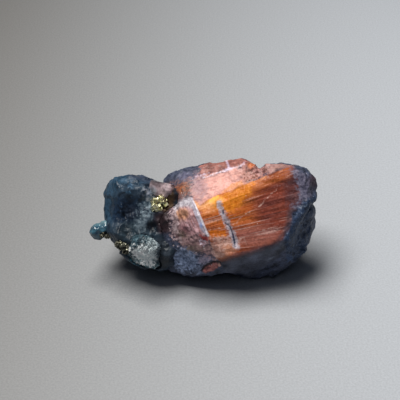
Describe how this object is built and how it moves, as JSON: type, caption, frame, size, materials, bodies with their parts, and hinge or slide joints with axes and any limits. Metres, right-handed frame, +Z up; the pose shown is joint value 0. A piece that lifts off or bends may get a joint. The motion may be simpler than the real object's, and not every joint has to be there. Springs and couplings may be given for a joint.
{
  "type": "afghanite mineral specimen",
  "caption": "Hand specimen of orange and slate-blue afghanite with a blue crystal, calcite crusts and pyrite, resting on a flat broken face.",
  "frame": {"origin": "centre of the bounding box, at the level of the face that the specimen rests on", "axes": "+X along the specimen, from the small knob crystal to the broken right end; -Y towards the side with the large fibrous face; +Z up"},
  "size_m": [0.028, 0.0144, 0.0145],
  "materials": {
    "orange_afghanite": "fibrous cleavage face, silky gloss, rough broken sides",
    "blue_afghanite": "glossy broken crystal",
    "white_calcite": "sugary crust",
    "pink_calcite": "waxy cleaved block",
    "pyrite": "bright metallic cubes, slightly tarnished"
  },
  "bodies": {
    "root": {"afghanite_mass": "orange_afghanite", "blue_crystal": "blue_afghanite", "knob_crystal": "blue_afghanite", "calcite_crust": "white_calcite", "pink_calcite": "pink_calcite", "upper_pyrite": "pyrite", "lower_pyrite": "pyrite", "neck_pyrite": "pyrite"}
  },
  "joints": []
}
